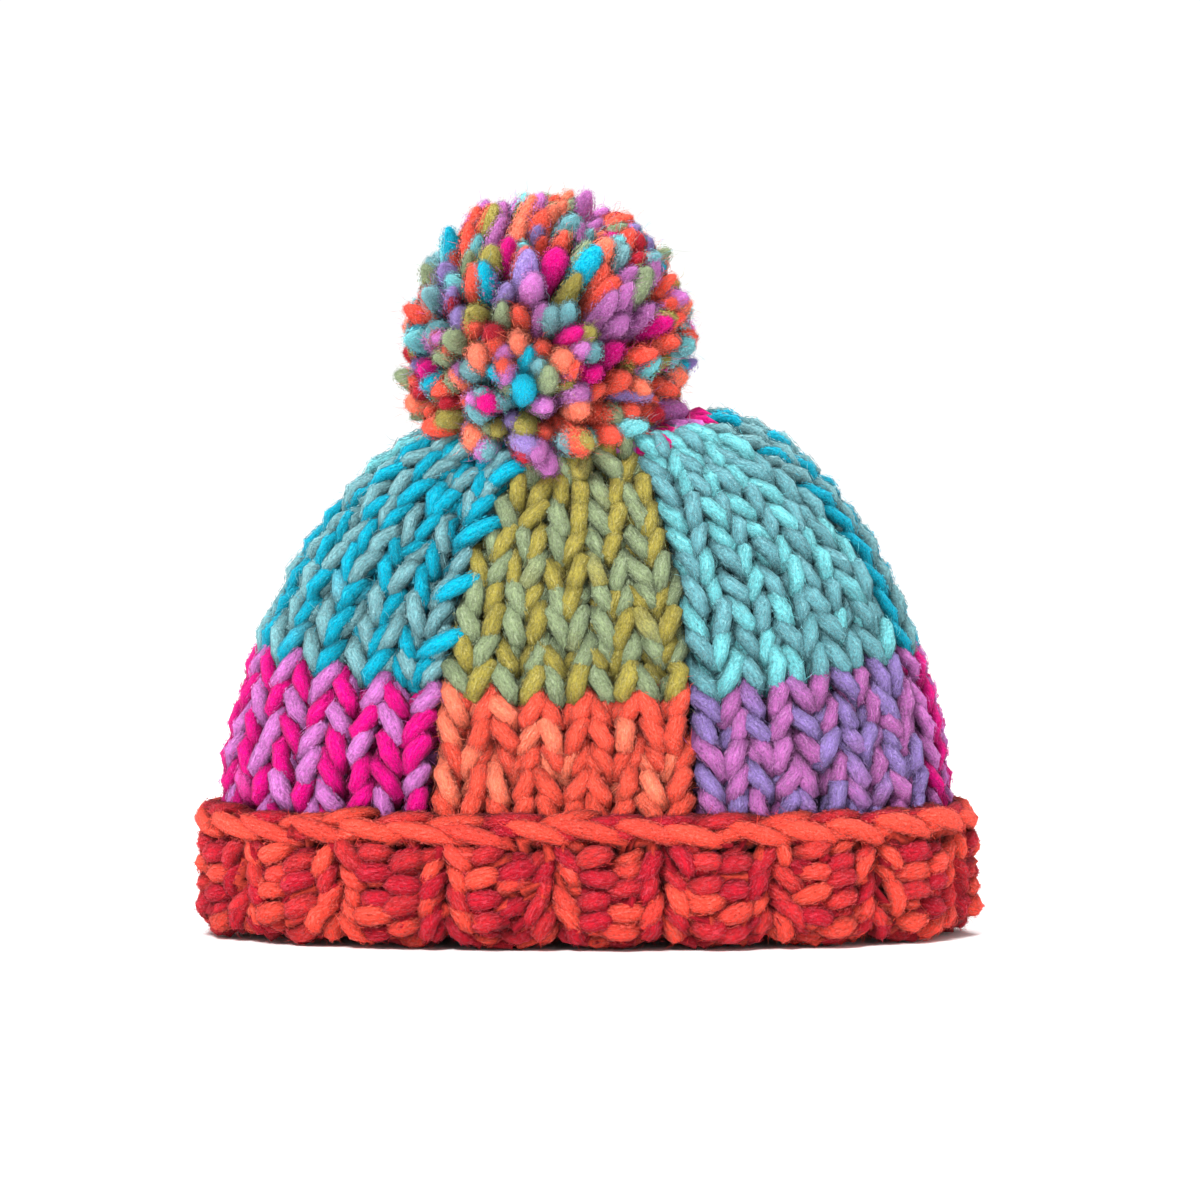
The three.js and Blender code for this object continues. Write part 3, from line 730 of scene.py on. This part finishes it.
front_climb = even_heights(COLOUR_LINE["front"], RIM["front"], 1)
side_climb = even_heights(COLOUR_LINE["side"], RIM["side"], 0)


def blended(place, turn):
    return place["front"] + (place["side"] - place["front"]) * np.sin(turn) ** 2


def row_height(turn, row):
    share = np.clip(row / (UPPER_ROWS + 1), 0, 1) * (CLIMB_STEPS - 1)
    steps = np.arange(CLIMB_STEPS)
    upper = blended({"front": np.interp(share, steps, front_climb),
                     "side": np.interp(share, steps, side_climb)}, turn)
    line = blended(COLOUR_LINE, turn)
    lower = line + (line - blended(BLOCK_START, turn)) * row / LOWER_ROWS
    return np.where(row > 0, upper, lower)


def turn_on_row(arc, row):
    foot = turn_at(arc)
    starts = np.append(GORE_FEET, GORE_FEET[0] + GIRTH)
    turns = np.append(RIM_TURNS, RIM_TURNS[0] + 2 * math.pi)
    rim = np.interp(np.mod(arc - starts[0], GIRTH) + starts[0], starts, turns)
    swing = np.arctan2(np.sin(rim - foot), np.cos(rim - foot))
    return foot + swing * np.clip(row / UPPER_ROWS, 0, 1.1) ** CONVERGE


def crown_point(turn, row):
    height = row_height(turn, row)
    x, y = plan_point(*crown_section(height), turn)
    return np.stack([x + LEAN * (height / CROWN["top"]) ** 2, y, height], -1)


def wall_point(turn, row, out):
    """A point of the crown's wall, a distance out from its surface, and the way out of it there."""
    step = 0.02
    around = crown_point(turn + step, row) - crown_point(turn - step, row)
    upward = crown_point(turn, row + step) - crown_point(turn, row - step)
    outward = unit(np.cross(around, upward))
    return crown_point(turn, row) + outward * out[..., None], outward


def column_edges(gore, start, end, row):
    """The columns' edges on a row. Two that are knitted together draw close, then stand as one."""
    widths = np.ones(gore["columns"])
    for merge, place in gore["together"]:
        if row < merge:
            near = np.clip(1 - (merge - row) / DECREASE["before"], 0, 1)
            widths[place:place + 2] *= 1 - DECREASE["narrowed"] * near
        else:
            joined = widths[place] + widths[place + 1]
            relax = np.clip((row - merge) / DECREASE["after"], 0, 1)
            widths = np.delete(widths, place)
            widths[place] = joined * DECREASE["left"] * (1 - relax) + relax
    edges = np.concatenate([[0], np.cumsum(widths)]) / widths.sum()
    return start + (end - start) * edges


def make_block(gore, start, end, part, rows, seed):
    strands = Strands(seed, two_faced=True)
    dye = gore[part]
    marling = MARLING[dye]
    for row in rows:
        edges = column_edges(gore, start + SEAM, end - SEAM, row)
        columns = len(edges) - 1
        across, climb, depth, at = stitch_line(strands.random, edges, row, np.ones(columns))
        line, outward = wall_point(turn_on_row(across, climb), climb, WALL_MIDDLE + depth)
        span = np.linalg.norm(line[-1] - line[0])
        fit = np.clip(span / (YARN["column"] * columns), 0.6, 1.02) ** 0.7
        plies = [(radius * MM * fit, YARN["offset"] * fit, share)
                 for radius, share in zip(marling["radii"], marling["shares"])]
        # The plies turn half round each other from one leg to the next, so a leg shows one of them.
        front = math.pi * strands.random.integers(0, 2) + strands.random.normal(0, 0.4)
        legs = at - 0.25
        turn = front - strands.random.normal(2, 0.05) * math.pi * legs
        turn = turn + 0.25 * np.sin(4 * math.pi * legs)
        # Painted shade: the wool is painted darker where two legs meet, the more the nearer the junction.
        half_columns = np.interp(across, edges, np.arange(columns + 1)) * 2
        meeting = np.clip(np.cos(2 * math.pi * half_columns), 0, 1)
        level = WALL_MIDDLE + depth - JUNCTION_SHADE * meeting
        made = wind_plies(strands, line, outward, level, dye, plies, turn, 7, swell=0.15, run=YARN["run"],
                          nap=YARN["nap"])
        fluff_plies(strands, made, outward, dye, YARN["hairs"] * columns, YARN["hair"])
    name = f"{gore['name']}_{part}"
    strands.piece(f"{name}_stitches", f"{dye}_yarn", f"{name}_block")


gore_ends = np.append(GORE_FEET[1:], GORE_FEET[0] + GIRTH)
for number, (gore, start, end) in enumerate(zip(GORES, GORE_FEET, gore_ends)):
    make_block(gore, start, end, "lower", range(-LOWER_ROWS, 0), 100 + number)
    make_block(gore, start, end, "upper", range(0, UPPER_ROWS), 200 + number)

# Carried yarn
# The turquoise yarn, which is carried over the seam beside the front block on every second row. It
# crosses the seam on the outside, in a short smooth strand.
CARRIED_ROWS = (1.0, 3.0, 5.1, 7.4)
CARRIED = {"points": 14, "climb": 1.25, "length": 17 * MM, "crest": 8.2 * MM, "sink": 1.5 * MM,
           "radius": 2.5 * MM, "nap": 0.6 * MM}
carried = Strands(25)
for row in CARRIED_ROWS:
    share = np.linspace(0, 1, CARRIED["points"])
    rows = row + CARRIED["climb"] * share
    turns = turn_on_row(GORE_FEET[0] + (share - 0.6) * CARRIED["length"], rows)
    out = WALL_MIDDLE + CARRIED["crest"] * np.sin(math.pi * (0.12 + 0.76 * share)) - CARRIED["sink"]
    line, outward = wall_point(turns, rows, out)
    thick = CARRIED["radius"] * np.sin(math.pi * (0.15 + 0.7 * share)) ** 0.4
    looks = {"tone": 0.5, "marl": 0.0, "level": out}
    carried.add(line[None], thick[None], outward[None], "turquoise", **looks)
    carried.nap(line[None], thick[None], outward[None], "turquoise", CARRIED["nap"], 6, **looks)
carried.piece("carried_yarn", "turquoise_yarn", "left_upper_block")

# Closing rows
# The last rows of the crown, in magenta wool plied with orchid. They are drawn in to the middle under
# the bobble, and its tie goes down through the hole that they leave.
CLOSING = {"hole": 5 * MM, "height": 143 * MM, "crest": 10 * MM, "sink": 8 * MM, "rim": -0.6 * MM,
           "stitch": 2 * MM, "painted_shade": 6 * MM, "hairs": 150, "hair": 4 * MM}
CLOSING_COLUMNS = (20, 17, 13, 10, 7)
# The radius of each ply, how far it lies from the yarn's middle, and its share of orchid
CLOSING_PLIES = ((2.2 * MM, 1.3 * MM, 0.1), (2.2 * MM, 1.3 * MM, 0.85))


def closing_point(turn, share, out):
    """A point of the closing ring. Its share is 0 at the rim and 1 at the hole."""
    last_row = np.full(turn.shape, float(UPPER_ROWS))
    rim, _ = wall_point(turn, last_row, np.full(turn.shape, CLOSING["rim"]))
    hole = np.stack([CLOSING["hole"] * np.sin(turn), -CLOSING["hole"] * np.cos(turn),
                     np.full(turn.shape, CLOSING["height"])], -1)
    place = rim + (hole - rim) * share[..., None]
    place[..., 2] += CLOSING["crest"] * (1 - share) * np.sin(math.pi * share) + out
    return place


closing = Strands(31)
for row, columns in enumerate(CLOSING_COLUMNS):
    edges = np.linspace(0, 2 * math.pi, columns + 1)
    across, climb, depth, at = stitch_line(closing.random, edges, row, np.ones(columns), height=1.0,
                                           lean=0.25, depth=CLOSING["stitch"], loose=0)
    line = closing_point(across, np.clip(climb / len(CLOSING_COLUMNS), 0, 1), depth - CLOSING["sink"])
    outward = unit(np.stack([np.sin(across), -np.cos(across), np.full(across.shape, 1.2)], -1))
    turn = math.pi * at + closing.random.uniform(0, 6)
    # Painted shade: the closing stitches are painted darker as if they lay a further 6 mm in.
    level = depth - CLOSING["painted_shade"]
    made = wind_plies(closing, line, outward, level, "magenta", CLOSING_PLIES, turn, 6)
    fluff_plies(closing, made, outward, "magenta", CLOSING["hairs"], CLOSING["hair"])
closing.piece("closing_stitches", "magenta_yarn", "closing_rows")

# Tie
# A doubled strand of the magenta wool that holds the bobble. It goes down through the closing rows
# and is knotted inside the crown.
TIE = {"top": 158 * MM, "foot": 131 * MM, "radius": 1.5 * MM}
KNOT = {"reach": 5.4 * MM, "middle": -1.5 * MM, "height": 5 * MM, "wave": 1.2 * MM, "radius": 2.1 * MM}
tie = Strands(41)
tie_rise = np.linspace(0, 1, 30)
for side in (0, math.pi):
    around = side + tie_rise * 3 * math.pi
    line = np.stack([TIE["radius"] * np.cos(around), TIE["radius"] * np.sin(around),
                     TIE["foot"] + (TIE["top"] - TIE["foot"]) * tie_rise], -1)
    tie.add(line[None], TIE["radius"], np.array([0, 1.0, 0]), "magenta")
coil = np.linspace(0, 1, 90)
coil_turn = coil * 6 * math.pi
coil_reach = KNOT["reach"] * (0.75 + 0.25 * np.sin(coil * math.pi))
coil_rise = TIE["foot"] + KNOT["middle"] + KNOT["height"] * (coil - 0.5)
coil_rise += KNOT["wave"] * np.sin(coil_turn * 1.5)
knot = np.stack([coil_reach * np.cos(coil_turn), coil_reach * np.sin(coil_turn), coil_rise], -1)
tie.add(knot[None], KNOT["radius"], np.array([0, 0, 1.0]), "magenta")
tie.piece("tie_cord", "magenta_yarn", "bobble_tie")

# Bobble
# A ball of thick cut yarn ends in all the hat's colours. The plies have come apart, and each shows as
# a plump felted tip. The lowest ends lie on the crown.
BOBBLE = {"heart": np.array([-11.5, -2.0, 176.5]) * MM, "reach": 43.5 * MM, "root": 16 * MM,
          "tied": np.array([-5.0, 2.0, -11.0]) * MM}  # where its ends are tied, from its heart
TIP_COUNT = 590
DROOPING = 54
TIP_POINTS = 9
TIP_RADIUS = 3.65 * MM
# How far the ends fall over: in tufts, all to one side, and each its own way.
FALL = {"tufts": 2.5 * MM, "side": np.array([5.5, 0, 1.0]) * MM, "own": 4.4 * MM}
PRESS = 5 * MM  # how deep the lowest ends press into the stitches
ROOT_SHADE = 11 * MM  # how deep the painted shade lies at the ends' roots
# The sleeves of fuzz on an end: the point that each starts from, and how far it stands out
SLEEVES = ({"first": 2, "stand": 0.7 * MM, "sides": 7, "kind": "nap"},
           {"first": 3, "stand": 1.5 * MM, "sides": 6, "kind": "haze"})
# The odds of each yarn's first and second dye among the ends
TIP_SHARES = {"orange": (17, 12), "red": (3, 6), "magenta": (6, 12), "lavender": (6, 11),
              "turquoise": (4, 7), "aqua": (9, 6), "green": (7, 8)}


def crown_height(x, y):
    """The height of the crown's surface over a place, looked for no lower than 60 mm."""
    low, high = np.full(x.shape, 60 * MM), np.full(x.shape, CROWN["top"])
    for _ in range(24):
        middle = (low + high) / 2
        half_width, half_depth = crown_section(middle)
        outside = np.abs(x / half_width) ** FLATNESS + np.abs(y / half_depth) ** FLATNESS > 1
        high, low = np.where(outside, middle, high), np.where(outside, low, middle)
    return low


bobble = Strands(51)
draw = bobble.random
number = np.arange(TIP_COUNT)
rise = 1 - 2 * (number + 0.5) / TIP_COUNT
golden = number * math.pi * (3 - math.sqrt(5))
ring = np.sqrt(1 - rise**2)
ways = np.stack([ring * np.cos(golden), ring * np.sin(golden), rise], -1)
ways = unit(ways + draw.normal(0, 0.05, ways.shape))
reach = BOBBLE["reach"] * (1.02 - np.abs(draw.normal(0, 0.08, TIP_COUNT)))
# The lowest ends hang down over the crown, all the way round.
droop_turn = np.linspace(0, 2 * math.pi, DROOPING, endpoint=False) + draw.normal(0, 0.08, DROOPING)
droop_fall = -0.6 - 0.45 * np.cos(droop_turn) ** 2 + draw.normal(0, 0.12, DROOPING)
droops = np.stack([np.sin(droop_turn), -np.cos(droop_turn), droop_fall], -1)
ways = np.concatenate([ways, unit(droops)])
droop_reach = 1.03 + 0.14 * np.cos(droop_turn) ** 2 + draw.normal(0, 0.03, DROOPING)
reach = np.concatenate([reach, BOBBLE["reach"] * droop_reach])
ends = TIP_COUNT + DROOPING
fall = np.stack([np.sin(3 * ways[:, 1] + 2 * ways[:, 2] + 1), np.sin(3 * ways[:, 2] + 2 * ways[:, 0]),
                 np.sin(3 * ways[:, 0] + 2 * ways[:, 1] + 2)], -1) * FALL["tufts"]
combed = 0.3 + 0.7 * np.clip(ways[:, 2:] + 0.4, 0, 1)
fall = fall + FALL["side"] * combed + draw.normal(0, FALL["own"], ways.shape)
fall -= (fall * ways).sum(-1, keepdims=True) * ways
shares = np.sin(np.linspace(0, 1, TIP_POINTS) * math.pi / 2)
length = (reach - BOBBLE["root"])[:, None, None]
tip_lines = BOBBLE["heart"] + ways[:, None] * (BOBBLE["root"] + length * shares[:, None])
tip_lines += BOBBLE["tied"] * (1 - shares[:, None])
tip_lines += fall[:, None] * shares[:, None] ** 2.2
drop = np.linalg.norm(fall, axis=1) ** 2 / (2 * reach)
tip_lines -= ways[:, None] * drop[:, None, None] * shares[:, None] ** 2
ground = crown_height(tip_lines[..., 0], tip_lines[..., 1]) - PRESS
sunk = np.maximum(0, ground - tip_lines[..., 2])
tip_lines[..., 2] += sunk
tip_lines += unit(ways * np.array([1, 1, 0]) + 1e-6)[:, None] * sunk[..., None] * 0.35
swell = 0.6 + 0.4 * np.sin(np.clip(shares / 0.66, 0, 1) * math.pi / 2)
bluntness = draw.uniform(0.16, 0.46, (ends, 1))
round_off = np.sqrt(np.clip(1 - ((shares - 1 + bluntness) / (bluntness * 1.03)).clip(0, 1) ** 2, 0.02, 1))
thick = TIP_RADIUS * draw.uniform(0.78, 1.14, (ends, 1)) * swell * round_off
yarns = [(name, second) for name in TIP_SHARES for second in (0, 1)]
odds = np.array([TIP_SHARES[name][second] for name, second in yarns], float)
picked = draw.choice(len(yarns), ends, p=odds / odds.sum())
tip_dyes = [yarns[i][0] for i in picked]
tip_marls = np.array([yarns[i][1] for i in picked], float)
# Painted shade: the ends are painted darker towards their roots, and the shorter ones darker still, as if
# deeper in the ball.
level = (reach[:, None] - BOBBLE["reach"] * 1.02) * 0.6 - ROOT_SHADE * (1 - shares) ** 1.1
looks = {"marl": tip_marls[:, None], "level": level, "felted": 1.5, "painted_side_shade": 0.2}
bobble.add(tip_lines, thick, ways[:, None], tip_dyes, tone=draw.uniform(1.5, 4.5, ends), rough=0.04,
           **looks)
bobble.piece("yarn_ends", "mixed_yarn", "bobble")
fluff = Strands(52)
looks["tone"] = 1.8
for sleeve in SLEEVES:
    first = sleeve["first"]
    looks["level"] = level[:, first:]
    fluff.nap(tip_lines[:, first:], thick[:, first:], ways[:, None], tip_dyes, sleeve["stand"],
              sleeve["sides"], sleeve["kind"], **looks)
fluff.fluff(tip_lines[:, 3:], thick[:, 3:], np.zeros(3), tip_dyes, tip_marls[:, None], number=16,
            length=5 * MM, facing=-1, radius=0.045 * MM)
fluff.piece("yarn_fluff", "mixed_yarn", "bobble")
